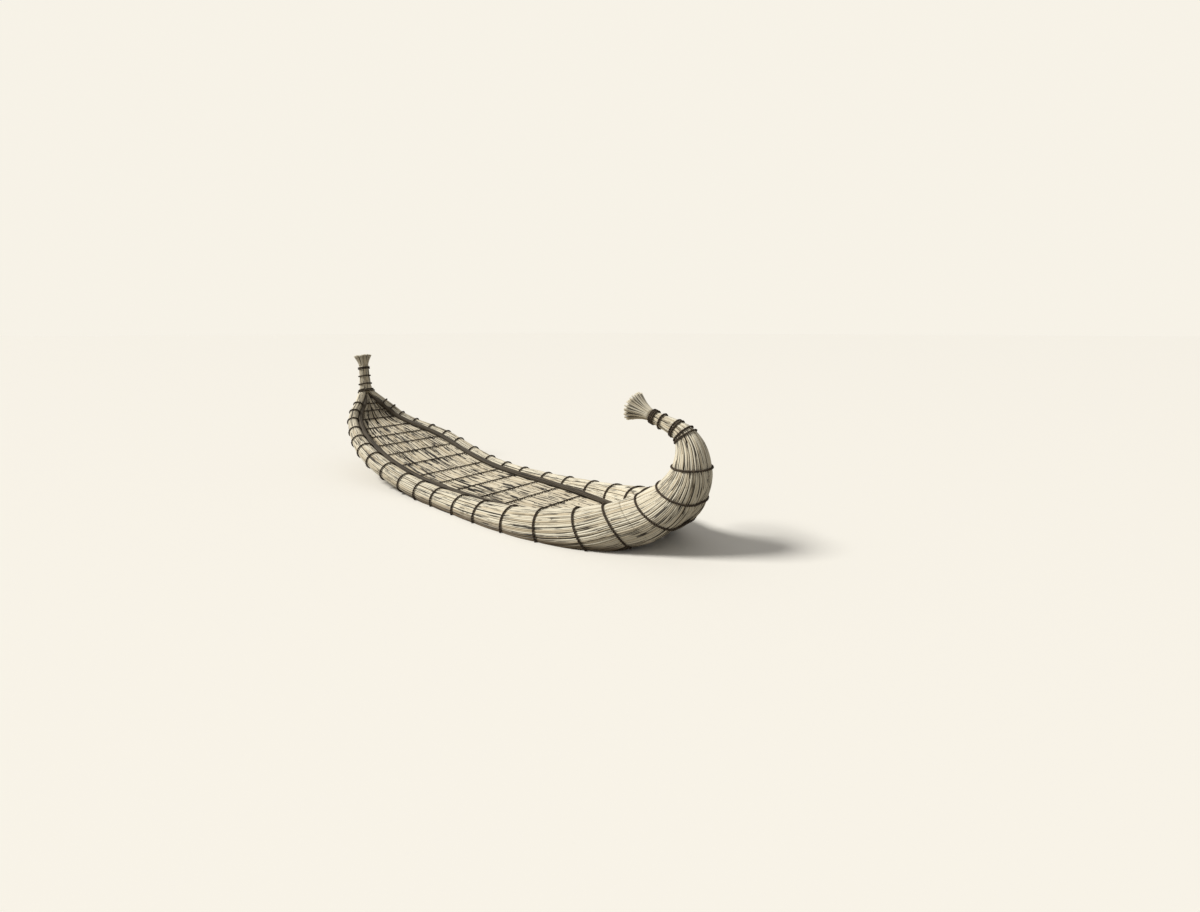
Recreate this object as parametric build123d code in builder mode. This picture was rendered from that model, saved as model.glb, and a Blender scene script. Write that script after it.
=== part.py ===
"""A papyrus boat: bundles of reeds bound with rope, with a curled bow horn and an upright stern.

Millimetres. +X points to the bow, +Y to port, +Z up. The origin lies on the centreline, amidships,
at the level of the water that the boat floats in.
"""

import os
from math import acos, asin, cos, degrees, radians, sin, sqrt

from build123d import *

# Ropes, and the play between pieces that are bound together
rope_diameter = 15
cross_rope_diameter = 12
rope_sides = 6
play = 0.4
lashing_play = 0.95
crevice = 3
hair = 0.001

# Side rolls: two round bundles, drawn in at every ring of rope and fuller between the rings
roll_fullness = 1.055
fullest_at = (0.27, 0.73)

# Ridges of reeds along the bundles, each standing for a few stalks, and the grooves between them
roll_ridges = 12
lobe_ridges = 7
tuft_ridges = 16
mat_ridges = 14
groove_share = 0.08
tuft_groove_share = 0.12
mat_groove = 5
edge_roll_sides = 8

# The rolls at their rings, from the stern to the bow.
# Columns: x, distance from the centreline, height above the water, radius in the ring, and the
# direction that the ring faces, in degrees up from forward
ring_table = [
    (-2676, 75, 907, 45, -60),
    (-2550, 185, 768, 50, -50),
    (-2484, 270, 679, 53, -44),
    (-2376, 345, 579, 57, -31),
    (-2152, 428, 483, 65, -20),
    (-1890, 511, 406, 75, -16),
    (-1625, 568, 336, 84, -16),
    (-1374, 589, 262, 88, -15),
    (-1063, 590, 182, 89, -12),
    (-713, 582, 114, 92, -9),
    (-396, 579, 74, 98, -6),
    (-77, 579, 50, 106, -3),
    (306, 582, 36, 118, -1),
    (647, 582, 31, 130, 1),
    (1030, 562, 34, 149, 5),
    (1400, 506, 54, 169, 15),
    (1784, 403, 104, 192, 31),
    (2035, 287, 170, 199, 43),
    (2180, 201, 227, 199, 50),
]

# Deck mat and the bundles under it, at the same rings.
# Columns: deck above the roll's centre, keel below the roll's centre, half width of the keel bundle
hull_table = [
    (4, 43, 18),
    (4, 50, 52),
    (4, 62, 76),
    (6, 95, 100),
    (14, 170, 124),
    (22, 222, 146),
    (28, 268, 160),
    (32, 284, 168),
    (34, 262, 172),
    (38, 226, 174),
    (42, 206, 176),
    (48, 192, 176),
    (54, 182, 176),
    (52, 178, 170),
    (46, 180, 156),
    (36, 190, 126),
    (24, 200, 80),
    (14, 205, 20),
    (-80, 190, 17),
]
deck_thickness = 30
deck_thickness_at_stern = 10
deck_thickening = 3
keel_shoulder = 0.94
keel_corners = (1, 0.6, 0, -0.6, -1)
bilge_depth = 0.92
bilge_bulge = 0.48
bilge_corners = (0, 0.25, 0.5, 0.75)
first_bilge_ring = 1
last_deck_ring = 17

# Thin rolls laid in the corner between the deck mat and the side rolls
edge_roll_radius = 27
edge_roll_share_of_gap = 0.3

# Where a ring of rope goes in between the bundles under its roll, in degrees from outboard
ring_ends_at = -80

# Bow horn: the bundles drawn together into one, curling up and back over the deck.
# Columns: x, height, direction in degrees up from forward, half the spread, half the thickness.
# A lashing's places count rows of the table, one for each turn of its rope
horn_table = [
    (2180, 227, 50, 197, 199),
    (2309, 308, 56, 143, 194),
    (2400, 385, 63, 100, 187),
    (2475, 469, 70, 61, 177),
    (2545, 590, 80, 26, 161),
    (2571, 690, 91, 12, 149),
    (2562, 824, 107, 4, 120),
    (2510, 925, 128, 2, 93),
    (2446, 970, 145, 1, 75),
    (2356, 1003, 158, 1, 62),
    (2262, 1032, 161, 1, 54),
    (2172, 1064, 161, 1, 50),
]
horn_lashing_places = [(1.06,), (3.06,), (5,), (7, 7.36), (8.2, 8.42), (9.75,), (10.45, 10.62, 10.79)]
bow_tuft_length = 205
bow_tuft_radius = 136

# Stern neck: the rolls and the keel bound into one post.
# Columns: x, height, direction in degrees up from forward, half the spread, half the thickness
neck_table = [
    (-2676, 907, 120, 44, 45),
    (-2704, 975, 108, 24, 56),
    (-2722, 1045, 102, 8, 62),
    (-2742, 1160, 100, 3, 60),
    (-2763, 1280, 100, 1, 62),
]
neck_lashing_places = [(0.12, 0.44), (1.85,), (2.85,), (3.62, 3.76)]
stern_tuft_length = 150
stern_tuft_radius = 112
tuft_flare = 1.5
tuft_sections = (0, 0.35, 0.7, 1)

os.makedirs("parts", exist_ok=True)


def finish(shape, label):
    """Names a finished piece and writes it."""
    shape.label = label
    export_step(shape, f"parts/{label}.step")


def finish_pair(shape, label):
    """Writes a port piece and its starboard twin."""
    finish(shape, f"{label}_port")
    finish(mirror(shape, about=Plane.XZ), f"{label}_starboard")


def heading(angle):
    """The direction at an angle up from forward, in the boat's middle plane."""
    return Vector(cos(radians(angle)), 0, sin(radians(angle)))


def between(first, second, share):
    """A value or place that lies a share of the way from one to another."""
    return first + (second - first) * share


# The planes across the whole hull, with local x to port and local y up through the deck
stations = [
    Plane(origin=(x, 0, height), x_dir=(0, 1, 0), z_dir=heading(lean))
    for x, side, height, radius, lean in ring_table
]

# How far the port roll turns in or out at each ring, as the sine of the angle
roll_points = [Vector(x, side, height) for x, side, height, radius, lean in ring_table]
inner_turns = [(after - before).normalized().Y for before, after in zip(roll_points, roll_points[2:])]
turns = [0, *inner_turns, 0]


def ring_plane(point, lean, turn):
    """A plane across the port roll: local x points outboard, local y up through the deck."""
    along = heading(lean) * sqrt(1 - turn**2) + Vector(0, turn, 0)
    up = heading(lean + 90)
    return Plane(origin=point, x_dir=up.cross(along), z_dir=along)


# Every section of the port roll: its plane and radius
rings = []
roll_sections = []
for index, (x, side, height, radius, lean) in enumerate(ring_table):
    plane = ring_plane(roll_points[index], lean, turns[index])
    rings.append(plane)
    roll_sections.append((plane, radius))
    if index == len(ring_table) - 1:
        break
    next_radius, next_lean = ring_table[index + 1][3:]
    for share in fullest_at:
        point = between(roll_points[index], roll_points[index + 1], share)
        turned = between(turns[index], turns[index + 1], share)
        full = between(radius, next_radius, share) * roll_fullness
        roll_sections.append((ring_plane(point, between(lean, next_lean, share), turned), full))


def polar(radius, angle):
    """A point at a distance and an angle from the middle of a section."""
    return (radius * cos(radians(angle)), radius * sin(radians(angle)))


def ridged_circle(radius, ridges, groove):
    """The corners of a round bundle's section, on a ridge and in a groove by turns."""
    half_pitch = 180 / ridges
    corners = []
    for ridge in range(ridges):
        corners.append(polar(radius, 2 * ridge * half_pitch))
        corners.append(polar(radius * (1 - groove), (2 * ridge + 1) * half_pitch))
    return corners


# Side rolls
with BuildPart() as gunwale_roll:
    for plane, radius in roll_sections:
        with BuildSketch(plane):
            with BuildLine():
                Polyline(*ridged_circle(radius, roll_ridges, groove_share), close=True)
            make_face()
    loft(ruled=True)
finish_pair(gunwale_roll.part, "gunwale_roll")

# The lines that the port roll's ridges run along, from the stern to the bow
ridge_lines = [
    [plane.from_local_coords(polar(radius, 360 * ridge / roll_ridges)) for plane, radius in roll_sections]
    for ridge in range(roll_ridges)
]


def ridge_crossings(index):
    """Where the port roll's ridges pass through a station's plane, in that plane."""
    spans = len(fullest_at) + 1
    first = max(0, (index - 1) * spans)
    crossings = []
    for line in ridge_lines:
        near = [stations[index].to_local_coords(point) for point in line[first : (index + 1) * spans + 1]]
        for before, after in zip(near, near[1:]):
            if before.Z < hair and after.Z > -hair:
                crossings.append(between(before, after, before.Z / (before.Z - after.Z)))
    return crossings


roll_cuts = [ridge_crossings(index) for index in range(len(stations))]


def roll_tangent(index, angle):
    """How far the fullest roll reaches from the middle of a station, at an angle up from port."""
    across, up = polar(1, angle)
    reach = max(place.X * across + place.Y * up for place in roll_cuts[index])
    return reach + ring_table[index][3] * (roll_fullness - 1) + crevice


def inboard_of_roll(index, above, spare):
    """How far from the middle the space inside the roll ends, at a height in a station."""
    tilt = asin(above / (ring_table[index][3] + spare))
    return (above * sin(tilt) - roll_tangent(index, 180 - degrees(tilt)) - spare) / cos(tilt)


def deck_thickness_at(index):
    """The mat thins towards the stern, where the rolls close in on it."""
    return min(deck_thickness, deck_thickness_at_stern + deck_thickening * index)


def edge_radius(index):
    """The thin edge roll tapers where the side rolls come together."""
    return min(edge_roll_radius, -edge_roll_share_of_gap * roll_tangent(index, 180))


def edge_place(index):
    """The centre of the port edge roll in a station's plane: across and above the roll's centre."""
    edge = edge_radius(index)
    above = hull_table[index][0] + edge + play
    return (inboard_of_roll(index, above, edge), above)


# Edge rolls
with BuildPart() as edge_roll:
    for index in range(last_deck_ring + 1):
        with BuildSketch(stations[index]):
            with Locations(edge_place(index)):
                RegularPolygon(edge_radius(index), edge_roll_sides)
    loft(ruled=True)
finish_pair(edge_roll.part, "edge_roll")

# Deck mat
with BuildPart() as deck_mat:
    for index in range(last_deck_ring + 1):
        top = hull_table[index][0]
        bottom = top - deck_thickness_at(index)
        top_half = inboard_of_roll(index, top, 0)
        bottom_half = inboard_of_roll(index, bottom, 0)
        groove = min(mat_groove, deck_thickness_at(index) / 3)
        surface = [
            (top_half * (1 - step / mat_ridges), top - groove * (step % 2))
            for step in range(2 * mat_ridges + 1)
        ]
        with BuildSketch(stations[index]):
            with BuildLine():
                Polyline((-bottom_half, bottom), (bottom_half, bottom), *surface, close=True)
            make_face()
    loft(ruled=True)
finish(deck_mat.part, "deck_mat")

# Keel bundle
with BuildPart() as keel_bundle:
    for index, (deck, keel, half) in enumerate(hull_table):
        top = deck - deck_thickness_at(index) - play
        bottom = [
            (share * half, -keel * (1 - (1 - keel_shoulder) * share**2))
            for share in keel_corners
        ]
        with BuildSketch(stations[index]):
            with BuildLine():
                Polyline((-half, top), (half, top), *bottom, close=True)
            make_face()
    loft(ruled=True)
finish(keel_bundle.part, "keel_bundle")

# Bilge bundles, which lie against the keel bundle and reach in under the side rolls
with BuildPart() as bilge_bundle:
    for index in range(first_bilge_ring, last_deck_ring + 1):
        deck, keel, half = hull_table[index]
        inner = half + play
        outer = -roll_tangent(index, 180)
        top = deck - deck_thickness_at(index) - play
        shoulder = -keel_shoulder * keel
        slant = -roll_tangent(index, 225) * sqrt(2)
        corner = (outer, slant - outer)
        drop = -min(roll_tangent(index, 270), bilge_depth * keel)
        under_roll = (slant - drop, drop)
        width = under_roll[0] - inner
        belly = [
            (inner + share * width, between(shoulder, drop, share) - bilge_bulge * width * share * (1 - share))
            for share in bilge_corners
        ]
        with BuildSketch(stations[index]):
            with BuildLine():
                Polyline(under_roll, corner, (outer, top), (inner, top), *belly, close=True)
            make_face()
    loft(ruled=True)
finish_pair(bilge_bundle.part, "bilge_bundle")


def post_planes(table):
    """The planes across the horn or the neck, from the hull's end to the tip."""
    return [
        Plane(origin=(x, 0, height), x_dir=(0, 1, 0), z_dir=heading(angle))
        for x, height, angle, spread, thickness in table
    ]


def lobe_turn(spread, thickness, step):
    """The angle of a groove or ridge on the port lobe, counted up from the lower cleft."""
    return (step / lobe_ridges - 1) * degrees(acos(-spread / thickness))


def post_loft(planes, table):
    """Two bundles grown together: two round lobes that merge as their spread closes."""
    with BuildPart() as post:
        for plane, (x, height, angle, spread, thickness) in zip(planes, table):
            lobe = []
            for step in range(1, 2 * lobe_ridges):
                radius = thickness * (1 if step % 2 else 1 - groove_share)
                across, up = polar(radius, lobe_turn(spread, thickness, step))
                lobe.append((spread + across, up))
            cleft = sqrt(thickness**2 - spread**2) * (1 - groove_share)
            twin = [(-across, up) for across, up in reversed(lobe)]
            with BuildSketch(plane):
                with BuildLine():
                    Polyline((0, -cleft), *lobe, (0, cleft), *twin, close=True)
                make_face()
        loft(ruled=True)
    return post.part


horn_planes = post_planes(horn_table)
neck_planes = post_planes(neck_table)

# Bow horn
finish(post_loft(horn_planes, horn_table), "bow_horn")

# Stern neck
finish(post_loft(neck_planes, neck_table), "stern_neck")


def tuft_loft(plane, root, length, radius):
    """A flared tuft of loose reed ends."""
    with BuildPart() as tuft:
        for share in tuft_sections:
            out = between(root, radius, share**tuft_flare)
            with BuildSketch(plane.offset(play + share * length)):
                with BuildLine():
                    Polyline(*ridged_circle(out, tuft_ridges, tuft_groove_share), close=True)
                make_face()
        loft(ruled=True)
    return tuft.part


# Tufts of loose reed ends
bow_tuft = tuft_loft(horn_planes[-1], horn_table[-1][4], bow_tuft_length, bow_tuft_radius)
finish(bow_tuft, "bow_tuft")
stern_tuft = tuft_loft(neck_planes[-1], neck_table[-1][4], stern_tuft_length, stern_tuft_radius)
finish(stern_tuft, "stern_tuft")


def ring_reach(index):
    """How far the rope's centre is from the roll's centre."""
    return ring_table[index][3] + lashing_play + rope_diameter / 2


def ring_start(index):
    """The angle on the roll's inner side where the rope ring meets the edge roll."""
    plane = rings[index]
    reach = ring_reach(index)
    apart = edge_radius(index) + rope_diameter / 2 + crevice
    ends = []
    for near in (index - 1, index, index + 1):
        near = min(near, last_deck_ring)
        across, above = edge_place(near)
        ends.append(stations[near].from_local_coords((across, above)))
    runs = [Edge.make_line(*pair) for pair in zip(ends, ends[1:]) if (pair[1] - pair[0]).length]
    for angle in range(90, 170, 2):
        place = plane.from_local_coords(
            (reach * cos(radians(angle)), reach * sin(radians(angle)))
        )
        if min(run.distance_to(place) for run in runs) < apart:
            break
    return angle - 2


def radial_plane(plane, place, angle):
    """A plane across a rope that runs round a bundle, with local x pointing outwards."""
    across, up = polar(1, angle)
    outwards = plane.x_dir * across + plane.y_dir * up
    centre = plane.from_local_coords(place)
    return Plane(origin=centre, x_dir=outwards, z_dir=outwards.cross(plane.z_dir))


# Rings of rope round the side rolls, each a length of rope that goes in between the bundles
pitch = 360 / roll_ridges
ridge_angles = [ridge * pitch for ridge in range(-roll_ridges, roll_ridges)]
gunwale_rings = []
for index in range(1, last_deck_ring + 1):
    start = ring_start(index)
    bends = [angle for angle in ridge_angles if ring_ends_at < angle < start]
    with BuildPart() as ring:
        for angle in (ring_ends_at, *bends, start):
            off_middle = angle % pitch - pitch / 2
            reach = ring_reach(index) * cos(radians(pitch / 2)) / cos(radians(off_middle))
            with BuildSketch(radial_plane(rings[index], polar(reach, angle), angle)):
                RegularPolygon(rope_diameter / 2, rope_sides)
        loft(ruled=True)
    gunwale_rings.append(ring.part.solid())
finish_pair(Compound(gunwale_rings), "gunwale_rings")

# Cross lashings that hold the mat down, at each ring and midway to the next
lift = cross_rope_diameter / 2 + lashing_play
deck_lashings = []
for half_step in range(2, 2 * last_deck_ring + 1):
    near = (half_step // 2, (half_step + 1) // 2)
    rope_ends = []
    for index in near:
        across, above = edge_place(index)
        inset = edge_radius(index) / sqrt(1 - turns[index] ** 2) + crevice
        rope_ends.append(stations[index].from_local_coords((across - inset, hull_table[index][0] + lift)))
    rope_end = between(*rope_ends, 0.5)
    centre = Vector(rope_end.X, 0, rope_end.Z)
    along = stations[near[0]].z_dir + stations[near[1]].z_dir
    with BuildPart() as lashing:
        with BuildSketch(Plane(origin=centre, x_dir=along, z_dir=(0, 1, 0))):
            RegularPolygon(cross_rope_diameter / 2, rope_sides, rotation=90)
        extrude(amount=rope_end.Y, both=True)
    deck_lashings.append(lashing.part.solid())
finish(Compound(deck_lashings), "deck_lashings")


def rope_turn(planes, table, place):
    """A turn of rope round the horn or neck, bearing on its ridges, at a place in its table."""
    row = min(int(place), len(table) - 2)
    share = place - row
    origin = between(planes[row].origin, planes[row + 1].origin, share)
    along = between(planes[row].z_dir, planes[row + 1].z_dir, share)
    plane = Plane(origin=origin, x_dir=(0, 1, 0), z_dir=along)
    spread = between(table[row][3], table[row + 1][3], share)
    thickness = between(table[row][4], table[row + 1][4], share)
    reach = thickness + lashing_play + rope_diameter / 2
    turned = [lobe_turn(spread, thickness, step) for step in range(1, 2 * lobe_ridges, 2)]
    highest = max(sin(radians(angle)) for angle in turned)
    bends = [(0, -reach * highest, -90)]
    for angle in turned:
        across, up = polar(reach, angle)
        if across > 0 or abs(sin(radians(angle))) == highest:
            bends.append((spread + across, up, angle))
    bends.append((0, reach * highest, 90))
    with BuildPart() as turn:
        for across, up, angle in bends:
            with BuildSketch(radial_plane(plane, (across, up), angle)):
                RegularPolygon(rope_diameter / 2, rope_sides)
        loft(ruled=True)
        mirror(about=Plane.XZ)
    return turn.part


# Rope round the horn and the neck
for post, planes, table, lashings in (
    ("horn", horn_planes, horn_table, horn_lashing_places),
    ("neck", neck_planes, neck_table, neck_lashing_places),
):
    for number, places in enumerate(lashings, 1):
        rope_turns = [rope_turn(planes, table, place).solid() for place in places]
        finish(Compound(rope_turns), f"{post}_lashing_{number}")
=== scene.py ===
import random
from math import acos, cos, pi, radians, sin, sqrt

import bpy
import numpy as np
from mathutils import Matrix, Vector, noise


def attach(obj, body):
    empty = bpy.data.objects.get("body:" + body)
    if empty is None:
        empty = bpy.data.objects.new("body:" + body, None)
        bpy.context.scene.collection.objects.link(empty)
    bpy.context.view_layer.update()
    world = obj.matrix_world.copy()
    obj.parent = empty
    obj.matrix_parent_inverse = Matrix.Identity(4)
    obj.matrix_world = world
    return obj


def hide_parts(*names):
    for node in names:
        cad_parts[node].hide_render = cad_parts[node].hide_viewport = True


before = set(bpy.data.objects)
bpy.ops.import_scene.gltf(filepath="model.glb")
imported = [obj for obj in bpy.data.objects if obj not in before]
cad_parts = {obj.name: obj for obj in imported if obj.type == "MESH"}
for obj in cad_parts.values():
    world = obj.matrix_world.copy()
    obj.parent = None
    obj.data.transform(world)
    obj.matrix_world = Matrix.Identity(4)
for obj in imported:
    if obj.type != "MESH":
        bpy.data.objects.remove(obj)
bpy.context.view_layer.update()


# Side rolls
# Each is a long bundle of dry papyrus stalks, drawn in by rope at every ring and swelling between
# the rings. Its stalks run on into the stern neck at one end and into the bow horn at the other.

# Columns: x, distance from the centreline, height, radius in the ring, lean of the ring in degrees
neck_rows = [
    (-2.763, 0.001, 1.280, 0.062, -80),
    (-2.742, 0.003, 1.160, 0.060, -80),
    (-2.722, 0.008, 1.045, 0.062, -78),
    (-2.704, 0.024, 0.975, 0.056, -72),
]
ring_rows = [
    (-2.676, 0.066, 0.907, 0.047, -60),
    (-2.550, 0.185, 0.768, 0.050, -50),
    (-2.484, 0.270, 0.679, 0.053, -44),
    (-2.376, 0.345, 0.579, 0.057, -31),
    (-2.152, 0.428, 0.483, 0.065, -20),
    (-1.890, 0.511, 0.406, 0.075, -16),
    (-1.625, 0.568, 0.336, 0.084, -16),
    (-1.374, 0.589, 0.262, 0.088, -15),
    (-1.063, 0.590, 0.182, 0.089, -12),
    (-0.713, 0.582, 0.114, 0.092, -9),
    (-0.396, 0.579, 0.074, 0.098, -6),
    (-0.077, 0.579, 0.050, 0.106, -3),
    (0.306, 0.582, 0.036, 0.118, -1),
    (0.647, 0.582, 0.031, 0.130, 1),
    (1.030, 0.562, 0.034, 0.149, 5),
    (1.400, 0.506, 0.054, 0.169, 15),
    (1.784, 0.403, 0.104, 0.192, 31),
    (2.035, 0.287, 0.170, 0.199, 43),
    (2.180, 0.199, 0.227, 0.199, 50),
]
horn_rows = [
    (2.309, 0.143, 0.308, 0.194, 56),
    (2.400, 0.100, 0.385, 0.187, 63),
    (2.475, 0.061, 0.469, 0.177, 70),
    (2.545, 0.026, 0.590, 0.161, 80),
    (2.571, 0.012, 0.690, 0.149, 91),
    (2.562, 0.004, 0.824, 0.120, 107),
    (2.510, 0.002, 0.925, 0.093, 128),
    (2.446, 0.001, 0.970, 0.075, 145),
    (2.356, 0.001, 1.003, 0.062, 158),
    (2.262, 0.001, 1.032, 0.054, 161),
    (2.172, 0.001, 1.064, 0.050, 161),
]
lobe_table = neck_rows + ring_rows + horn_rows
first_ring = len(neck_rows)
horn_start = first_ring + len(ring_rows) - 1
horn_tip = len(lobe_table) - 1
last_deck_ring = horn_start - 1

# Places of the ropes, counted in rows of that table, one for each turn
neck_turns = [(3.88, 3.56), (2.15,), (1.15,), (0.38, 0.24)]
ring_turns = range(first_ring + 1, horn_start)
horn_turns = [(23.06,), (25.06,), (27,), (29, 29.36), (30.2, 30.42), (31.75,), (32.45, 32.62, 32.79)]

# How much a bundle swells between its ropes, and how soon it is full, where 1 is a plain arch
swell = 0.06
swell_rise = 0.55

# Rows over which the inner stalks of the two rolls go out of sight, in the horn and in the neck
horn_merging = 6
neck_merging = 3

# The stalks: how many go round a roll, how far they overlap, and how they vary. Depths and drifts
# are in a stalk's own radius or spacing, and a pace is how fast a drift changes in a metre.
lobe_reeds = 78
thinnest_reed = 0.0068
reed_overlap = 1.13
reed_girths = (0.84, 1.12)
joints_in_a_course = 3
joint_girth = 0.8
wander_aside = 0.28
wander_out = 0.2
aside_pace = 1.1
out_pace = 1.6
neighbours_apart = 7.31
sunk_depth = 1.7
sinking_softness = 0.06
golden_ratio = 0.6180339887
first_to_sink = 0.31
core_depth = 1.5
cut_end_crest = 0.9
steps_a_ring = 7


def smooth_value(rows, place, column):
    """A column of a table, read smoothly between its rows."""
    first = min(int(place), len(rows) - 2)
    share = place - first
    before = rows[max(first - 1, 0)][column]
    here = rows[first][column]
    there = rows[first + 1][column]
    after = rows[min(first + 2, len(rows) - 1)][column]
    slope_here = (there - before) / 2
    slope_there = (after - here) / 2
    rise = there - here
    return (
        here
        + slope_here * share
        + (3 * rise - 2 * slope_here - slope_there) * share**2
        + (slope_here + slope_there - 2 * rise) * share**3
    )


def heading(lean):
    """The direction at an angle up from forward, in the boat's middle plane."""
    return np.array([cos(radians(lean)), 0, sin(radians(lean))])


# How far the bundle's sections still turn with its course where it joins the neck and the horn
fading_turns = {
    first_ring - 1: 0.2,
    first_ring: 0.5,
    horn_start: 0.8,
    horn_start + 1: 0.45,
    horn_start + 2: 0.2,
}
lobe_points = np.array([row[:3] for row in lobe_table])
turn_table = []
for row in range(len(lobe_table)):
    turned = fading_turns.get(row, 1 if first_ring < row < horn_start else 0)
    if turned:
        run = lobe_points[row + 1] - lobe_points[row - 1]
        turned *= run[1] / np.linalg.norm(run)
    turn_table.append((turned,))


def lobe_frame(place):
    """The centre of the port bundle at a place in its table, with its outboard and up."""
    centre = np.array([smooth_value(lobe_table, place, column) for column in range(3)])
    lean = smooth_value(lobe_table, place, 4)
    turn = smooth_value(turn_table, place, 0)
    along = heading(lean) * sqrt(1 - turn**2) + np.array([0, turn, 0])
    up = heading(lean + 90)
    return centre, np.cross(up, along), up


tied_places = sorted([place for turns in neck_turns + horn_turns for place in turns] + list(ring_turns))


def lobe_radius(place):
    """The bundle's radius, drawn in at its ropes and full between them."""
    before = max([tied for tied in tied_places if tied <= place], default=0)
    after = min([tied for tied in tied_places if tied > place], default=horn_tip + 0.5)
    share = (place - before) / (after - before)
    fullness = 1 + swell * min(after - before, 1) * (4 * share * (1 - share)) ** swell_rise
    return smooth_value(lobe_table, place, 3) * fullness


def cusp_angle(place):
    """How far round from outboard the port bundle shows before it meets the starboard one."""
    side = smooth_value(lobe_table, place, 1)
    return pi - acos(max(min(side / smooth_value(lobe_table, place, 3), 1), 0))


def soft_step(value):
    """Eases from 0 to 1 as the value does, and stays there."""
    value = min(max(value, 0), 1)
    return value * value * (3 - 2 * value)


def spread_angle(place):
    """How far round the stalks lie: all round a roll, and only as far as they show where both
    rolls have become one bundle. Between the two the inner ones run in between the rolls."""
    cusp = cusp_angle(place)
    in_horn = soft_step((place - horn_start) / horn_merging)
    in_neck = soft_step((first_ring - place) / neck_merging)
    merged = max(in_horn, in_neck)
    return cusp + (pi - cusp) * (1 - merged)


port = np.array([1, 1, 1])
starboard = np.array([1, -1, 1])


def lobe_outline(share, side):
    """A stalk's course on a side's bundle. The share runs from -1 to 1, up past outboard at 0."""

    def outline(place):
        centre, outboard, up = lobe_frame(place)
        radius = lobe_radius(place)
        angle = share * spread_angle(place)
        outward = cos(angle) * outboard + sin(angle) * up
        around = cos(angle) * up - sin(angle) * outboard
        spacing = 2 * spread_angle(place) * radius / lobe_reeds
        inside = (abs(angle) - cusp_angle(place)) * radius > 2 * max(spacing, 2 * thinnest_reed)
        return (centre + radius * outward) * side, outward * side, around * side, spacing, inside

    return outline


def wander(reed, distance, seed, pace):
    """A slow drift of a stalk from its straight course, from -1 to 1."""
    return 2 * noise.noise(Vector((reed * neighbours_apart, distance * pace, seed)))


def sinking_share(reed):
    """When a stalk sinks as its bundle thins, from 0 to 1, spread evenly over neighbours by the
    golden ratio."""
    return (reed * golden_ratio + first_to_sink) % 1


def unit(rows):
    """Each row at length 1."""
    return rows / np.linalg.norm(rows, axis=1)[:, None]


def run_along(points):
    """The distance along a line of points, at each of them."""
    return np.concatenate([[0], np.cumsum(np.linalg.norm(np.diff(points, axis=0), axis=1))])


def as_course(places, centres, outwards, radii, tones, tangents=None):
    """The arrays that a tube is laid from, with its direction and the distance along it."""
    centres = np.array(centres)
    runs = run_along(centres)
    if tangents is None:
        tangents = unit(np.gradient(centres, axis=0))
    places, outwards, radii, tones = (np.array(part) for part in (places, outwards, radii, tones))
    return [places, centres, outwards, radii, tones, runs, tangents]


def stretch_of(course, first, last):
    """The part of a course between two places, or None."""
    wanted = (course[0] >= first) & (course[0] <= last)
    return [part[wanted] for part in course] if np.count_nonzero(wanted) > 1 else None


def reed_courses(places, outline, reed, seed, least=thinnest_reed):
    """One stalk's course along a bundle, in as many stretches as it comes to the surface.

    outline(place) gives the reed's surface point, its outward direction, the direction around the
    bundle, the spacing of the reeds there, and whether the stalk has gone inside. Where the bundle
    is too thin for all its stalks, a share of them sinks out of sight. At a joint one stalk ends
    and the next begins, with its own tone.
    """
    points = [outline(place) for place in places]
    distances = run_along([point[0] for point in points])
    chance = random.Random(seed * 1000 + reed)
    tone = chance.random()
    girth = reed_overlap * chance.uniform(*reed_girths)
    joints = [chance.uniform(0, len(places)) for joint in range(joints_in_a_course)]
    centres = []
    outwards = []
    radii = []
    tones = []
    shown = []
    for step, (surface, outward, around, spacing, inside) in enumerate(points):
        wanted = min(1, spacing / (2 * least))
        radius = max(spacing / 2, least) * girth
        sink = soft_step((sinking_share(reed) - wanted) / sinking_softness)
        shown.append(sink < 1 and not inside)
        if any(0 <= step - joint < 1 for joint in joints):
            tone = chance.random()
            radius *= joint_girth
        aside = wander_aside * spacing * wander(reed, distances[step], seed, aside_pace)
        lift = wander_out * radius * wander(reed, distances[step], seed + 11, out_pace)
        lift -= sunk_depth * radius * sink
        centres.append(surface + outward * (lift - radius) + around * aside)
        outwards.append(outward)
        radii.append(radius)
        tones.append(tone)
    whole = as_course(places, centres, outwards, radii, tones)
    courses = []
    start = None
    for step in range(len(places) + 1):
        seen = step < len(places) and any(shown[max(step - 1, 0) : step + 2])
        if seen and start is None:
            start = step
        if not seen and start is not None:
            if step - start > 1:
                courses.append([part[start:step] for part in whole])
            start = None
    return courses


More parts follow.
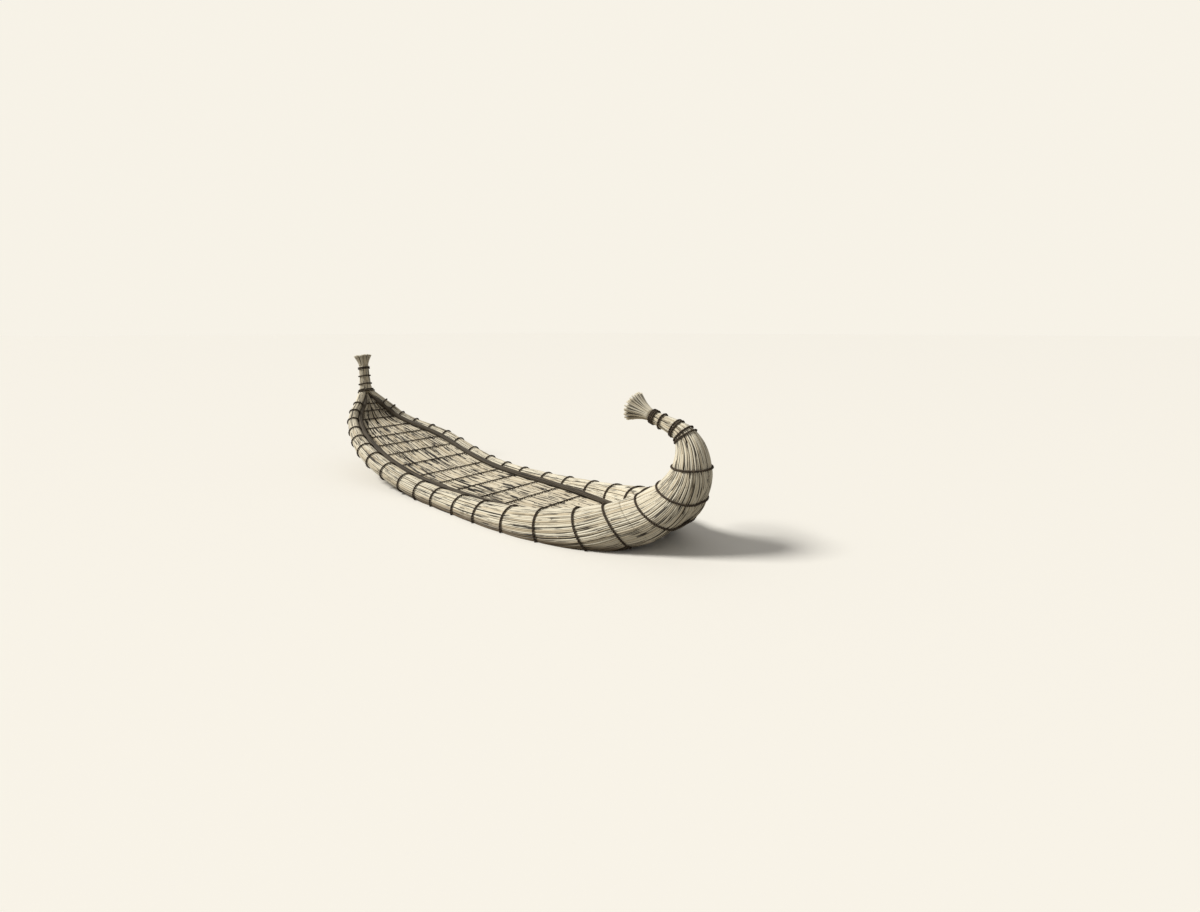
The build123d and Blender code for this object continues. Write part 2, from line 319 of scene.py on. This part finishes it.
def lay_courses(name, courses, cores=(), sides=6, core_sides=18, cut_ends=False):
    """A mesh of closed tubes, with the attributes that their look reads: how near each point is to
    the tube's crest, the stalk's tone, and the distance along it. A core lies under the stalks in
    painted shade. Cut ends are kept out of the painted groove shade, so they show pale."""
    vertices = []
    faces = []
    attributes = []
    drawn = [(course, sides, 1) for course in courses if course is not None]
    drawn += [(core, core_sides, 0) for core in cores if core is not None]
    start = 0
    for (places, centres, outwards, radii, tones, runs, tangents), around, shows in drawn:
        sideways = unit(np.cross(tangents, outwards))[:, None, :]
        up = np.cross(sideways, tangents[:, None, :])
        angles = np.arange(around) * 2 * pi / around
        rows = len(centres)
        directions = np.cos(angles)[None, :, None] * up + np.sin(angles)[None, :, None] * sideways
        vertices.append((centres[:, None, :] + radii[:, None, None] * directions).reshape(-1, 3))
        crests = np.tile((1 + np.cos(angles)) / 2, (rows, 1))
        if cut_ends:
            crests[[0, -1]] = np.maximum(crests[[0, -1]], cut_end_crest)
        # Cores get no crest, so the look paints them in the groove shade colour
        crests = shows * crests.ravel()
        attributes.append(np.array([crests, np.repeat(tones, around), np.repeat(runs, around)]))
        for row in range(rows - 1):
            for side in range(around):
                here = start + row * around + side
                beside = start + row * around + (side + 1) % around
                faces.append((here, beside, beside + around, here + around))
        end = start + (rows - 1) * around
        faces.append(tuple(reversed(range(start, start + around))))
        faces.append(tuple(range(end, end + around)))
        start = end + around
    mesh = bpy.data.meshes.new(name)
    mesh.from_pydata(np.concatenate(vertices).tolist(), [], faces)
    for attribute, values in zip(("crest", "tone", "run"), np.concatenate(attributes, axis=1)):
        layer = mesh.attributes.new(attribute, "FLOAT", "POINT")
        layer.data.foreach_set("value", values)
    mesh.polygons.foreach_set("use_smooth", [len(face) == 4 for face in faces])
    mesh.update()
    piece = bpy.data.objects.new(name, mesh)
    bpy.context.scene.collection.objects.link(piece)
    return piece


lobe_places = [step / steps_a_ring for step in range(steps_a_ring * horn_tip + 1)]
lobe_courses = {}
lobe_cores = {}
for side_name, side, seed in (("port", port, 2), ("starboard", starboard, 3)):
    courses = []
    for reed in range(lobe_reeds):
        share = 2 * (reed + 0.5) / lobe_reeds - 1
        courses += reed_courses(lobe_places, lobe_outline(share, side), reed, seed)
    lobe_courses[side_name] = courses
    frames = [lobe_frame(place) for place in lobe_places]
    # The core shows in painted shade wherever the stalks part
    core_radii = []
    for place in lobe_places:
        radius = lobe_radius(place)
        reed_radius = max(spread_angle(place) * radius / lobe_reeds, thinnest_reed)
        core_radii.append(radius - core_depth * reed_radius)
    lobe_cores[side_name] = as_course(
        lobe_places,
        [centre * side for centre, outboard, up in frames],
        [up for centre, outboard, up in frames],
        core_radii,
        np.zeros(len(lobe_places)),
        np.array([np.cross(outboard, up) * side for centre, outboard, up in frames]),
    )


# The look of dry reed: straw stalks of differing tone, streaked along their length, with split
# stretches and the grooves between them darkened in painted shade, and darker near the water, where
# the stalks are wet through and the colour also paints the shade and dark reflection at the waterline
def new_group(name, inputs, outputs):
    """A shader node group with named sockets, each given as (name, kind, value)."""
    group = bpy.data.node_groups.new(name, "ShaderNodeTree")
    for socket_name, kind, value in inputs:
        socket = group.interface.new_socket(socket_name, in_out="INPUT", socket_type=kind)
        socket.default_value = value
    for socket_name, kind in outputs:
        group.interface.new_socket(socket_name, in_out="OUTPUT", socket_type=kind)
    return group, group.nodes.new("NodeGroupInput"), group.nodes.new("NodeGroupOutput")


def fill(tree, socket, value):
    """Links a socket to another one, or gives it a plain value."""
    if isinstance(value, bpy.types.NodeSocket):
        tree.links.new(value, socket)
    else:
        socket.default_value = value


def attribute_of(tree, name):
    node = tree.nodes.new("ShaderNodeAttribute")
    node.attribute_name = name
    return node.outputs["Fac"]


def course_of(tree, tone=None):
    """A stalk's own coordinates: the distance along it, the nearness to its crest, its tone."""
    course = tree.nodes.new("ShaderNodeCombineXYZ")
    fill(tree, course.inputs["X"], attribute_of(tree, "run"))
    fill(tree, course.inputs["Y"], attribute_of(tree, "crest"))
    if tone:
        fill(tree, course.inputs["Z"], tone)
    return course.outputs[0]


def noise_on(tree, course, density, detail, roughness=0.5):
    """Noise in a stalk's own coordinates, drawn out along it by a low first density."""
    stretched = tree.nodes.new("ShaderNodeVectorMath")
    stretched.operation = "MULTIPLY"
    stretched.inputs[1].default_value = density
    fill(tree, stretched.inputs[0], course)
    texture = tree.nodes.new("ShaderNodeTexNoise")
    texture.inputs["Scale"].default_value = 1
    texture.inputs["Detail"].default_value = detail
    texture.inputs["Roughness"].default_value = roughness
    fill(tree, texture.inputs["Vector"], stretched.outputs[0])
    return texture.outputs["Fac"]


def scaled_sum(tree, value, factor, addend):
    """A value times a factor, plus an addend."""
    node = tree.nodes.new("ShaderNodeMath")
    node.operation = "MULTIPLY_ADD"
    for socket, given in zip(node.inputs, (value, factor, addend)):
        fill(tree, socket, given)
    return node.outputs[0]


def ramp_of(tree, source, low, high):
    """A smooth step from one (value, result) to another."""
    node = tree.nodes.new("ShaderNodeMapRange")
    node.interpolation_type = "SMOOTHSTEP"
    fill(tree, node.inputs["Value"], source)
    for socket, value in zip(("From Min", "To Min", "From Max", "To Max"), (*low, *high)):
        node.inputs[socket].default_value = value
    return node.outputs["Result"]


def mix_of(tree, factor, first, second, blend="MIX"):
    """A mix of two colours."""
    node = tree.nodes.new("ShaderNodeMix")
    node.data_type = "RGBA"
    node.blend_type = blend
    for number, value in ((0, factor), (6, first), (7, second)):
        fill(tree, node.inputs[number], value)
    return node.outputs[2]


look_outputs = [
    ("Color", "NodeSocketColor"),
    ("Roughness", "NodeSocketFloat"),
    ("Height", "NodeSocketFloat"),
]
reed_group, reed_in, reed_out = new_group(
    "dry reed",
    [
        ("Pale", "NodeSocketColor", (0.8, 0.72, 0.53, 1)),
        ("Weathered", "NodeSocketColor", (0.5, 0.41, 0.25, 1)),
        ("Groove Shade", "NodeSocketColor", (0.06, 0.04, 0.022, 1)),
        ("Split Shade Depth", "NodeSocketFloat", 0.75),
        ("More Splits", "NodeSocketFloat", 0),
    ],
    look_outputs,
)
groove_shade = reed_in.outputs["Groove Shade"]
tone = attribute_of(reed_group, "tone")
course = course_of(reed_group, tone)

streaks = noise_on(reed_group, course, density=(2.2, 5, 37), detail=4, roughness=0.65)
aged = scaled_sum(reed_group, tone, 0.55, scaled_sum(reed_group, streaks, 0.9, -0.18))
paleness = ramp_of(reed_group, aged, (0.12, 0), (0.62, 1))
straw = mix_of(reed_group, paleness, reed_in.outputs["Weathered"], reed_in.outputs["Pale"])

# Painted shade: dashes along the stalks take the groove shade colour, as split stalks dark inside
dashes = noise_on(reed_group, course, density=(4.5, 4, 53), detail=2)
dashes = scaled_sum(reed_group, dashes, 1, reed_in.outputs["More Splits"])
split_shade = ramp_of(reed_group, dashes, (0.56, 0), (0.63, 1))
split_shade = scaled_sum(reed_group, split_shade, reed_in.outputs["Split Shade Depth"], 0)
straw = mix_of(reed_group, split_shade, straw, groove_shade)

# Painted shade: away from its crest each stalk darkens to the groove shade colour, where it meets its
# neighbours
openness = ramp_of(reed_group, attribute_of(reed_group, "crest"), (0.6, 0), (0.86, 1))
dry = mix_of(reed_group, openness, groove_shade, straw)

# Darker towards the waterline: the stalks are wet through there, and the darkening also paints the
# shade and dark reflection at the waterline
place = reed_group.nodes.new("ShaderNodeTexCoord").outputs["Object"]
height = reed_group.nodes.new("ShaderNodeSeparateXYZ")
fill(reed_group, height.inputs[0], place)
water_edge = scaled_sum(reed_group, streaks, -0.07, height.outputs["Z"])
wet_and_shade_mask = ramp_of(reed_group, water_edge, (-0.015, 1), (0.05, 0))
wet_and_shade_colour = mix_of(reed_group, 1, dry, (0.26, 0.22, 0.18, 1), "MULTIPLY")

dry_roughness = ramp_of(reed_group, streaks, (0.3, 0.62), (0.75, 0.86))
fill(reed_group, reed_out.inputs["Color"], mix_of(reed_group, wet_and_shade_mask, dry, wet_and_shade_colour))
fill(reed_group, reed_out.inputs["Roughness"], scaled_sum(reed_group, wet_and_shade_mask, -0.2, dry_roughness))
fill(reed_group, reed_out.inputs["Height"], streaks)


def new_material(name):
    material = bpy.data.materials.new(name)
    material.use_nodes = True
    return material, material.node_tree, material.node_tree.nodes["Principled BSDF"]


def fibre_material(name, group, values, relief, relief_height):
    """A finish whose look is a group, with its own values and a bump in metres."""
    material, tree, shader = new_material(name)
    look = tree.nodes.new("ShaderNodeGroup")
    look.node_tree = group
    for socket_name, value in values.items():
        look.inputs[socket_name].default_value = value
    bump = tree.nodes.new("ShaderNodeBump")
    bump.inputs["Strength"].default_value = relief
    bump.inputs["Distance"].default_value = relief_height
    fill(tree, bump.inputs["Height"], look.outputs["Height"])
    fill(tree, shader.inputs["Base Color"], look.outputs["Color"])
    fill(tree, shader.inputs["Roughness"], look.outputs["Roughness"])
    fill(tree, shader.inputs["Normal"], bump.outputs["Normal"])
    return material


def reed_material(name, pale, weathered, groove_shade, split_shade_depth, more_splits=0):
    """A dry-reed finish, with split stretches in painted shade as deep and as many as asked for."""
    values = {
        "Pale": (*pale, 1),
        "Weathered": (*weathered, 1),
        "Groove Shade": (*groove_shade, 1),
        "Split Shade Depth": split_shade_depth,
        "More Splits": more_splits,
    }
    return fibre_material(name, reed_group, values, relief=0.4, relief_height=0.002)


bundle_finish = reed_material(
    "bundle reed",
    pale=(0.93, 0.86, 0.68),
    weathered=(0.66, 0.55, 0.37),
    groove_shade=(0.03, 0.02, 0.012),
    split_shade_depth=0.95,
)

for side_name in ("port", "starboard"):
    roll = lay_courses(
        f"roll_reeds_{side_name}",
        [stretch_of(course, first_ring, horn_start) for course in lobe_courses[side_name]],
        [stretch_of(lobe_cores[side_name], first_ring, horn_start)],
    )
    roll.data.materials.append(bundle_finish)
    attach(roll, "root")
    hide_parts(f"gunwale_roll_{side_name}")


# Bow horn and stern neck
# The two side rolls grow into one bundle at each end: the horn curls up and back over the deck,
# and the neck stands upright. Stalks end inside them as they taper towards their bound tips.
for piece_name, node_name, first, last in (
    ("horn_reeds", "bow_horn", horn_start, horn_tip),
    ("neck_reeds", "stern_neck", 0, first_ring),
):
    both_sides = lobe_courses["port"] + lobe_courses["starboard"]
    post = lay_courses(
        piece_name,
        [stretch_of(course, first, last) for course in both_sides],
        [stretch_of(core, first, last) for core in lobe_cores.values()],
    )
    post.data.materials.append(bundle_finish)
    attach(post, "root")
    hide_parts(node_name)


# Deck mat
# Reeds laid lengthwise side by side over the bundles, closing in with the rolls towards each end.
# They are held down by ropes across them.

# Columns: half width of the mat, height of its top above the roll's centre
mat_table = [
    (0.026, 0.004),
    (0.121, 0.004),
    (0.194, 0.004),
    (0.273, 0.006),
    (0.354, 0.014),
    (0.428, 0.022),
    (0.479, 0.028),
    (0.498, 0.032),
    (0.499, 0.034),
    (0.489, 0.038),
    (0.481, 0.042),
    (0.475, 0.048),
    (0.466, 0.054),
    (0.451, 0.052),
    (0.405, 0.046),
    (0.318, 0.036),
    (0.168, 0.024),
    (0.040, 0.014),
]
mat_reeds = 34
thinnest_mat_reed = 0.01
steps_a_station = 5
across = np.array([0, 1, 0])


def station(ring):
    """The point in the middle plane level with the rolls' centres, and the way up there."""
    place = first_ring + ring
    origin = np.array([smooth_value(lobe_table, place, 0), 0, smooth_value(lobe_table, place, 2)])
    return origin, heading(smooth_value(lobe_table, place, 4) + 90)


def mat_outline(share):
    """A reed's course in the mat. The share runs from -1 at starboard to 1 at port."""

    def outline(ring):
        origin, up = station(ring)
        half = smooth_value(mat_table, ring, 0)
        surface = origin + up * smooth_value(mat_table, ring, 1) + across * share * half
        return surface, up, across, 2 * half / mat_reeds, False

    return outline


mat_places = [step / steps_a_station for step in range(steps_a_station * (len(mat_table) - 1) + 1)]
mat_courses = []
for reed in range(mat_reeds):
    share = 2 * (reed + 0.5) / mat_reeds - 1
    mat_courses += reed_courses(mat_places, mat_outline(share), reed, 8, thinnest_mat_reed)
# The mat gets deeper and more split dashes of painted shade
mat_finish = reed_material(
    "mat reed",
    pale=(0.82, 0.73, 0.55),
    weathered=(0.5, 0.4, 0.25),
    groove_shade=(0.02, 0.014, 0.008),
    split_shade_depth=1.5,
    more_splits=0.03,
)
mat = lay_courses("mat_reeds", mat_courses)
mat.data.materials.append(mat_finish)
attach(mat, "root")
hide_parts("deck_mat")


# Edge rolls
# A thin roll of reeds in each corner between the mat and a side roll, where it hides the mat's
# edge and the ropes that go in between the bundles. Its near-black colour is painted shade of the
# corner.

# Columns: distance of the roll's centre from the centreline, its height above the side roll's
# centre, its radius
edge_table = [
    (0.018, 0.012, 0.007),
    (0.101, 0.031, 0.027),
    (0.172, 0.031, 0.027),
    (0.251, 0.033, 0.027),
    (0.334, 0.041, 0.027),
    (0.410, 0.049, 0.027),
    (0.461, 0.055, 0.027),
    (0.481, 0.059, 0.027),
    (0.482, 0.061, 0.027),
    (0.473, 0.065, 0.027),
    (0.465, 0.069, 0.027),
    (0.459, 0.075, 0.027),
    (0.451, 0.081, 0.027),
    (0.434, 0.079, 0.027),
    (0.386, 0.073, 0.027),
    (0.297, 0.063, 0.027),
    (0.148, 0.051, 0.027),
    (0.030, 0.026, 0.011),
]
edge_reeds = 12
thinnest_edge_reed = 0.004


def edge_outline(angle, side):
    """A reed's course on a side's edge roll, at an angle up from outboard."""

    def outline(ring):
        origin, up = station(ring)
        beside, above, radius = (smooth_value(edge_table, ring, column) for column in range(3))
        centre = origin + across * beside + up * above
        outward = cos(angle) * across + sin(angle) * up
        around = cos(angle) * up - sin(angle) * across
        spacing = 2 * pi * radius / edge_reeds
        return (centre + radius * outward) * side, outward * side, around * side, spacing, False

    return outline


# Painted shade: the edge reeds are near-black for the shade in the corner
edge_shade_finish = reed_material(
    "edge reed in painted shade",
    pale=(0.1, 0.078, 0.05),
    weathered=(0.045, 0.034, 0.021),
    groove_shade=(0.008, 0.006, 0.004),
    split_shade_depth=0.5,
)
for side_name, side, seed in (("port", port, 9), ("starboard", starboard, 10)):
    courses = []
    for reed in range(edge_reeds):
        outline = edge_outline(2 * pi * reed / edge_reeds, side)
        courses += reed_courses(mat_places, outline, reed, seed, thinnest_edge_reed)
    edge = lay_courses(f"edge_reeds_{side_name}", courses)
    edge.data.materials.append(edge_shade_finish)
    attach(edge, "root")
    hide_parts(f"edge_roll_{side_name}")


# Rope
# Two-ply cord laid up from plant fibre and dark with use, with painted shadow between its fibres:
# rings round the side rolls, lashings over the mat, and turns round the horn and the neck.
ring_rope_radius = 0.0102
lashing_rope_radius = 0.0088
cross_rope_radius = 0.0078

# A ply's radius as a share of the rope's, the length of one twist, and the steps that it is laid in
ply_share = 0.56
twist_length = 0.046
steps_a_twist = 7

# How far a rope stands off its bundle, and how high a cross rope's centre lies in its own radii
rope_seat = 0.0004
cross_rope_height = 0.8

# Points on the line of a ring, of a rope across the mat and of half a turn round a post
ring_points = 60
cross_points = 40
half_turn_points = 28

# Where a ring starts and ends, in degrees up from outboard, before it goes in between the bundles
ring_from = -84
ring_to = 166

rope_group, rope_in, rope_out = new_group(
    "plant rope",
    [
        ("Fibre", "NodeSocketColor", (0.14, 0.1, 0.065, 1)),
        ("Shadow", "NodeSocketColor", (0.03, 0.02, 0.012, 1)),
    ],
    look_outputs,
)
# Painted shadow: noise mixes the fibre colour with a shadow colour between the fibres
fibres = noise_on(rope_group, course_of(rope_group), density=(28, 9, 1), detail=5)
fibre_out_of_shadow = ramp_of(rope_group, fibres, (0.35, 0), (0.7, 1))
rope_colour = mix_of(rope_group, fibre_out_of_shadow, rope_in.outputs["Shadow"], rope_in.outputs["Fibre"])
fill(rope_group, rope_out.inputs["Color"], rope_colour)
fill(rope_group, rope_out.inputs["Roughness"], ramp_of(rope_group, fibre_out_of_shadow, (0, 0.75), (1, 0.95)))
fill(rope_group, rope_out.inputs["Height"], fibres)
rope_colours = {"Fibre": (0.13, 0.095, 0.06, 1), "Shadow": (0.03, 0.02, 0.012, 1)}
rope_finish = fibre_material("rope", rope_group, rope_colours, relief=0.6, relief_height=0.001)


def laid_rope(line, outwards, radius, seed):
    """The two plies of a rope along a line of points, as courses for lay_courses."""
    distance = run_along(line)
    count = max(int(distance[-1] / twist_length * steps_a_twist), 4)
    even = np.linspace(0, distance[-1], count)
    centre = np.array([np.interp(even, distance, line[:, axis]) for axis in range(3)]).T
    outward = np.array([np.interp(even, distance, outwards[:, axis]) for axis in range(3)]).T
    tangent = unit(np.gradient(centre, axis=0))
    beside = unit(np.cross(tangent, outward))
    above = np.cross(beside, tangent)
    ply_radius = radius * ply_share
    radii = np.full(count, ply_radius)
    tones = np.full(count, 0.5)
    courses = []
    for ply in (0, pi):
        phase = (2 * pi * even / twist_length + ply + seed)[:, None]
        offset = (radius - ply_radius) * (np.cos(phase) * above + np.sin(phase) * beside)
        courses.append(as_course(even, centre + offset, above, radii, tones))
    return courses


def rope_piece(name, courses, node_name):
    """A piece of laid rope that stands for a node."""
    piece = lay_courses(name, courses)
    piece.data.materials.append(rope_finish)
    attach(piece, "root")
    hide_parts(node_name)


ring_sweep = np.linspace(radians(ring_from), radians(ring_to), ring_points)[:, None]
for side_name, side in (("port", port), ("starboard", starboard)):
    courses = []
    for place in ring_turns:
        centre, outboard, up = lobe_frame(place)
        reach = lobe_radius(place) + ring_rope_radius + rope_seat
        outwards = np.cos(ring_sweep) * outboard + np.sin(ring_sweep) * up
        line = centre + reach * outwards
        courses += laid_rope(line * side, outwards * side, ring_rope_radius, place)
    rope_piece(f"roll_rope_rings_{side_name}", courses, f"gunwale_rings_{side_name}")

courses = []
for ring in range(1, len(mat_table)):
    origin, up = station(ring)
    half = smooth_value(mat_table, ring, 0)
    lift = smooth_value(mat_table, ring, 1) + cross_rope_height * cross_rope_radius
    line = origin + up * lift + np.linspace(-half, half, cross_points)[:, None] * across
    courses += laid_rope(line, np.tile(up, (cross_points, 1)), cross_rope_radius, ring)
rope_piece("mat_cross_lashings", courses, "deck_lashings")


def post_turn(place, radius):
    """A turn of rope round both bundles of the horn or the neck."""
    centre, outboard, up = lobe_frame(place)
    reach = lobe_radius(place) + radius + rope_seat
    sweep = np.linspace(-pi / 2, pi / 2, half_turn_points)[:, None]
    port_outwards = np.cos(sweep) * outboard + np.sin(sweep) * up
    port_line = centre + reach * port_outwards
    line = np.concatenate([port_line, port_line[::-1] * starboard, port_line[:1]])
    outwards = np.concatenate([port_outwards, port_outwards[::-1] * starboard, port_outwards[:1]])
    return laid_rope(line, outwards, radius, place)


for post_name, lashings in (("horn", horn_turns), ("neck", neck_turns)):
    for number, places in enumerate(lashings, 1):
        radius = ring_rope_radius if len(places) == 1 else lashing_rope_radius
        turns = [course for place in places for course in post_turn(place, radius)]
        rope_piece(f"{post_name}_rope_{number}", turns, f"{post_name}_lashing_{number}")


# Tufts
# The loose ends of the stalks past the last lashing of the horn and of the neck, cut to one length
# and spreading like a brush.
tuft_finish = reed_material(
    "loose reed",
    pale=(0.9, 0.83, 0.66),
    weathered=(0.62, 0.52, 0.35),
    groove_shade=(0.03, 0.02, 0.012),
    split_shade_depth=0.3,
)

# The rings of stalks in a tuft, from the outside in: share of its radius, and number of stalks
tuft_rings = [(1, 30), (0.82, 26), (0.64, 20), (0.46, 14), (0.28, 8), (0.1, 4)]

# How the stalks vary: radius in metres, then length, spread and place in the ring as shares. They
# are a little thinner where they are bound, and bend outward on the way.
stalk_radii = (0.0075, 0.0105)
stalk_lengths = (0.95, 1.02)
stalk_spreads = (0.93, 1.04)
stalk_stagger = 0.25
bound_girth = 0.9
stalk_bend = 1.6
stalk_rows = 9


def brush(name, place, direction, length, flare, seed):
    """Loose stalks that rise from a bound tip and spread."""
    chance = random.Random(seed)
    base, outboard, up = lobe_frame(place)
    base = base * np.array([1, 0, 1])
    along = direction * np.cross(outboard, up)
    root = lobe_radius(place)
    courses = []
    for share, count in tuft_rings:
        for stalk in range(count):
            stagger = chance.uniform(-stalk_stagger, stalk_stagger)
            angle = 2 * pi * (stalk + stagger) / count + share
            outward = cos(angle) * up + sin(angle) * outboard
            tip = length * chance.uniform(*stalk_lengths)
            reach = flare * share * chance.uniform(*stalk_spreads)
            thick = chance.uniform(*stalk_radii)
            start = max((root - thick) * share - thick * (1 - share), 0)
            rise = np.linspace(0, 1, stalk_rows)
            spread = start + (reach - thick - start) * rise**stalk_bend
            line = base + along * (tip * rise)[:, None] + outward * spread[:, None]
            radii = thick * np.linspace(bound_girth, 1, stalk_rows)
            tones = np.full(stalk_rows, chance.random())
            courses.append(as_course(rise, line, np.tile(outward, (stalk_rows, 1)), radii, tones))
    return lay_courses(name, courses, cut_ends=True)


bow_brush = brush("bow_tuft_reeds", horn_tip, direction=1, length=0.205, flare=0.134, seed=21)
stern_brush = brush("stern_tuft_reeds", 0, direction=-1, length=0.15, flare=0.119, seed=22)
for piece, node_name in ((bow_brush, "bow_tuft"), (stern_brush, "stern_tuft")):
    piece.data.materials.append(tuft_finish)
    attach(piece, "root")
    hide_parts(node_name)


# Keel and bilge bundles
# The thick bundles under the mat, mostly below the water. They carry the mat and lie against one
# another and the side rolls.

# Columns: depth of the keel below the roll's centre, half the width of the keel bundle
keel_table = [
    (0.043, 0.018),
    (0.050, 0.052),
    (0.062, 0.076),
    (0.095, 0.100),
    (0.170, 0.124),
    (0.222, 0.146),
    (0.268, 0.160),
    (0.284, 0.168),
    (0.262, 0.172),
    (0.226, 0.174),
    (0.206, 0.176),
    (0.192, 0.176),
    (0.182, 0.176),
    (0.178, 0.170),
    (0.180, 0.156),
    (0.190, 0.126),
    (0.200, 0.080),
    (0.205, 0.020),
    (0.190, 0.017),
]
# How much higher the keel bundle's edges lie, how round the bilge bundles are, and how deep their
# outer edges may lie as a share of the keel's depth
keel_rise = 0.06
bilge_bulge = 0.48
bilge_rim = 0.92
keel_reeds = 20
bilge_reeds = 14

# The tubes under the stalks, in painted shade: how many lie side by side in a bundle, and how far down
backing_tubes = 4
backing_depth = 0.013


def keel_outline(share, side):
    """A stalk's course in the keel bundle. The share runs from -1 at starboard to 1 at port."""

    def outline(ring):
        origin, up = station(ring)
        keel = smooth_value(keel_table, ring, 0)
        half = smooth_value(keel_table, ring, 1)
        surface = origin - up * keel * (1 - keel_rise * share**2) + across * share * half
        return surface, -up, across, 2 * half / keel_reeds, False

    return outline


def bilge_outline(share, side):
    """A stalk's course from the keel bundle at share 0 out to the side roll at 1."""

    def outline(ring):
        origin, up = station(ring)
        keel = smooth_value(keel_table, ring, 0)
        inner = smooth_value(keel_table, ring, 1)
        roll_side = smooth_value(lobe_table, first_ring + ring, 1)
        roll_radius = smooth_value(lobe_table, first_ring + ring, 3)
        shoulder = -(1 - keel_rise) * keel
        rim = -min(roll_radius, bilge_rim * keel)
        width = roll_side - sqrt(2) * roll_radius - rim - inner
        bulge = bilge_bulge * width
        rise = (rim - shoulder) - bulge * (1 - 2 * share)
        height = shoulder + (rim - shoulder) * share - bulge * share * (1 - share)
        arc = sqrt(width**2 + rise**2)
        outward = (rise * across - width * up) / arc
        around = (width * across + rise * up) / arc
        surface = origin + across * (inner + share * width) + up * height
        return surface * side, outward * side, around * side, arc / bilge_reeds, False

    return outline


def backing(outline, places, share, side, breadth):
    """A tube under the stalks in painted shade, as wide as so many of them."""
    points = [outline(share, side)(place) for place in places]
    surfaces, outwards, arounds, spacings, insides = zip(*points)
    radii = [spacing * breadth / 2 for spacing in spacings]
    centres = [
        surface - outward * (radius + backing_depth)
        for surface, outward, radius in zip(surfaces, outwards, radii)
    ]
    return as_course(places, centres, outwards, radii, np.zeros(len(places)))


# A bundle's outline, its first and last station, its shares at the edges, its stalks
keel_plan = (keel_outline, (0, 18), (-1, 1), keel_reeds)
bilge_plan = (bilge_outline, (1, 17), (0, 1), bilge_reeds)
for piece_name, node_name, side, plan, seed in (
    ("keel_reeds", "keel_bundle", port, keel_plan, 15),
    ("bilge_reeds_port", "bilge_bundle_port", port, bilge_plan, 16),
    ("bilge_reeds_starboard", "bilge_bundle_starboard", starboard, bilge_plan, 17),
):
    outline, (first, last), (low, high), reeds = plan
    places = [first + step / steps_a_station for step in range(steps_a_station * (last - first) + 1)]
    shares = np.linspace(low, high, reeds + 1)
    courses = []
    for reed, share in enumerate((shares[1:] + shares[:-1]) / 2):
        courses += reed_courses(places, outline(share, side), reed, seed)
    cores = []
    for tube in range(backing_tubes):
        share = low + (high - low) * (tube + 0.5) / backing_tubes
        cores.append(backing(outline, places, share, side, reeds / backing_tubes))
    bundle = lay_courses(piece_name, courses, cores, core_sides=10)
    bundle.data.materials.append(bundle_finish)
    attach(bundle, "root")
    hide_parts(node_name)


# Water level, light and camera
# The boat floats in a plain pale floor at its waterline. The floor looks pale to the camera and is
# dim to the boat, so that the undersides keep their shade.
floor_size = 400
bpy.ops.mesh.primitive_plane_add(size=floor_size, location=(0, 0, 0))
floor = bpy.context.object
floor.name = "floor"
floor_finish, floor_tree, floor_shader = new_material("pale floor")
to_camera = floor_tree.nodes.new("ShaderNodeLightPath").outputs["Is Camera Ray"]
floor_colour = mix_of(floor_tree, to_camera, (0.3, 0.28, 0.25, 1), (0.98, 0.95, 0.88, 1))
fill(floor_tree, floor_shader.inputs["Base Color"], floor_colour)
floor_shader.inputs["Roughness"].default_value = 0.9
floor_shader.inputs["Specular IOR Level"].default_value = 0.1
floor.data.materials.append(floor_finish)

# Cream paper behind the boat, and a soft pale light on it
backdrop_colour = (0.93, 0.89, 0.8, 1)
sky_colour = (1, 0.98, 0.95, 1)
sky_strength = 0.31
world = bpy.data.worlds.new("studio")
world.use_nodes = True
air = world.node_tree
background = air.nodes["Background"]
to_camera = air.nodes.new("ShaderNodeLightPath").outputs["Is Camera Ray"]
fill(air, background.inputs["Color"], mix_of(air, to_camera, sky_colour, backdrop_colour))
strength = scaled_sum(air, to_camera, 1 - sky_strength, sky_strength)
fill(air, background.inputs["Strength"], strength)
bpy.context.scene.world = world

# The view's level directions, to its left and away from the camera
view_left = Vector((-0.7627, -0.6468, 0))
view_ahead = Vector((-0.6468, 0.7627, 0))
sun_data = bpy.data.lights.new("soft sun", "SUN")
sun_data.energy = 2.9
sun_data.angle = radians(18)
sun_data.color = (1, 0.985, 0.95)
sun = bpy.data.objects.new("soft sun", sun_data)
sunward = view_left * 1.25 - view_ahead * 0.12 + Vector((0, 0, 1.25))
sun.rotation_euler = sunward.to_track_quat("Z", "Y").to_euler()
bpy.context.scene.collection.objects.link(sun)

# The camera looks level from a standing eye. Its shift puts the horizon where the picture has it,
# above the middle. Lengths are in the picture's own pixels.
picture_width = 1200
picture_height = 912
focal_length = 574.7
horizon = 329.08
camera_data = bpy.data.cameras.new("camera")
camera_data.sensor_width = 36
camera_data.lens = focal_length / picture_width * camera_data.sensor_width
camera_data.shift_y = -(picture_height / 2 - horizon) / picture_width
camera_data.clip_end = 1.5 * floor_size
camera = bpy.data.objects.new("camera", camera_data)
camera.location = (5.005, -4.018, 1.8)
camera.rotation_euler = view_ahead.to_track_quat("-Z", "Y").to_euler()
bpy.context.scene.collection.objects.link(camera)
bpy.context.scene.camera = camera
bpy.context.scene.view_settings.view_transform = "Standard"
